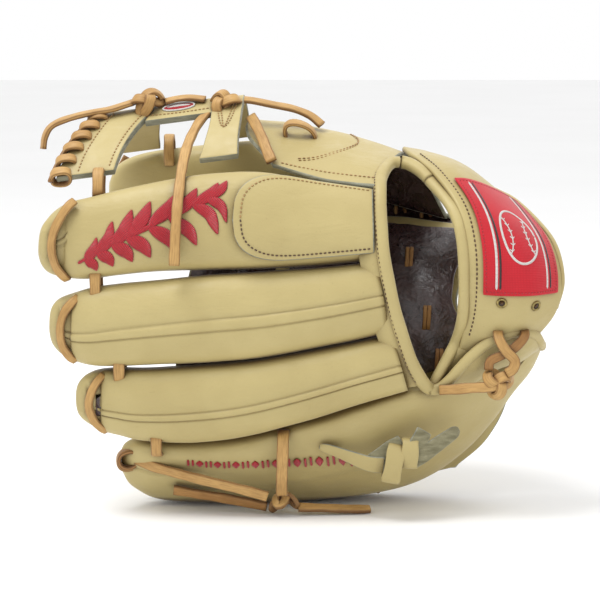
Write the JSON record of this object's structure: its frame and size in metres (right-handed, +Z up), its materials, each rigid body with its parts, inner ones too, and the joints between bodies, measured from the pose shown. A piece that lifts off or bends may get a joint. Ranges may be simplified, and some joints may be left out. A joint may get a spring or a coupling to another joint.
{
  "type": "baseball glove",
  "caption": "Infield baseball glove for the left hand: laced leather finger stalls, folding I-web, open back with wrist strap, padded palm and free rawhide lace ends.",
  "frame": {"origin": "bottom centre of the glove's bounding box, without its free lace ends, on the surface it stands on", "axes": "X runs from the fingertips (-X) to the wrist (+X), -Y is the back of the hand, +Y the catching side, +Z up towards the web"},
  "size_m": [0.3053, 0.1576, 0.2467],
  "materials": {
    "glove_leather": "smooth cream full-grain leather, satin",
    "lace": "tan rawhide lace, waxed, fibrous edges",
    "lining": "glossy dark brown lining leather",
    "felt": "pressed wool felt padding",
    "wool": "sheared wool pile",
    "patch": "red sewn patch with white and black lines",
    "eyelet": "dull brass"
  },
  "bodies": {
    "web_front": {"web_lace_end": "lace", "crotch_lace_end": "lace", "web_knot": "lace", "crotch_knot": "lace", "index_web_lace": "lace", "crotch_lace_top": "lace", "web_post_lace": "lace", "web_tip_binding": "lace", "web_tip_bar_front": "glove_leather", "web_base_bar_front": "glove_leather", "web_post_front": "glove_leather"},
    "pinky_side": {"pinky_lace_span": "lace", "pinky_lace_short_end": "lace", "pinky_lace_long_end": "lace", "wrist_lace_end": "lace", "ring_pinky_knot": "lace", "pinky_edge_knot": "lace", "wrist_knot": "lace", "ring_pinky_lace": "lace", "pinky_cross_lace": "lace", "heel_lace": "lace", "wrist_lace": "lace", "pinky_loop_knot": "glove_leather", "pinky_loop_left_end": "glove_leather", "pinky_stall": "glove_leather", "pinky_back_panel": "glove_leather", "pinky_heel_pad": "felt", "palm_leather_pinky": "glove_leather"},
    "finger_side": {"index_tip_lace": "lace", "middle_tip_lace": "lace", "ring_tip_lace": "lace", "index_middle_lace": "lace", "middle_ring_lace": "lace", "eyelet_left": "eyelet", "eyelet_right": "eyelet", "strap_patch": "patch", "opening_binding": "glove_leather", "strap_binding": "glove_leather", "strap_outer_binding": "glove_leather", "index_finger_pad": "glove_leather", "index_stall": "glove_leather", "middle_stall": "glove_leather", "ring_stall": "glove_leather", "wrist_strap": "glove_leather", "strap_wool_pad": "wool", "palm_lining_centre": "lining", "palm_leather_centre": "glove_leather"},
    "thumb_side": {"thumb_tip_lace": "lace", "thumb_web_lace": "lace", "crotch_lace_front": "lace", "crotch_lace_inner": "lace", "thumb_edge_lace": "lace", "thumb_stall": "glove_leather", "thumb_back_panel": "glove_leather", "palm_lining_thumb": "lining", "thumb_heel_pad": "felt", "palm_leather_thumb": "glove_leather"},
    "web_back": {"web_tip_bar_back": "glove_leather", "web_base_bar_back": "glove_leather", "web_post_back": "glove_leather"}
  },
  "joints": [
    {"name": "thumb_close", "type": "hinge", "parent": "finger_side", "child": "thumb_side", "pos_m": [0.0941, -0.0052, 0.117], "axis": [0.9913, -0.02, 0.13], "range_deg": [-2, 10], "stiffness_Nm_per_rad": 1.5},
    {"name": "web_rise", "type": "hinge", "parent": "finger_side", "child": "web_front", "pos_m": [-0.0609, -0.039, 0.2037], "axis": [0.9913, -0.02, 0.13], "range_deg": [-4.7, 23.1], "deforming": ["crotch_lace_end"]},
    {"name": "web_fold", "type": "hinge", "parent": "web_front", "child": "web_back", "pos_m": [-0.0609, -0.0017, 0.235], "axis": [0.9913, -0.02, 0.13], "range_deg": [-31.1, 6.3]},
    {"name": "pinky_close", "type": "hinge", "parent": "finger_side", "child": "pinky_side", "pos_m": [-0.0859, -0.0392, 0.045], "axis": [0.9829, 0, 0.1839], "range_deg": [0, 10], "stiffness_Nm_per_rad": 2.5}
  ],
  "couplings": [
    {"joint": "web_rise", "follows": "thumb_close", "ratio": 2.3},
    {"joint": "web_fold", "follows": "thumb_close", "ratio": -3.1}
  ]
}
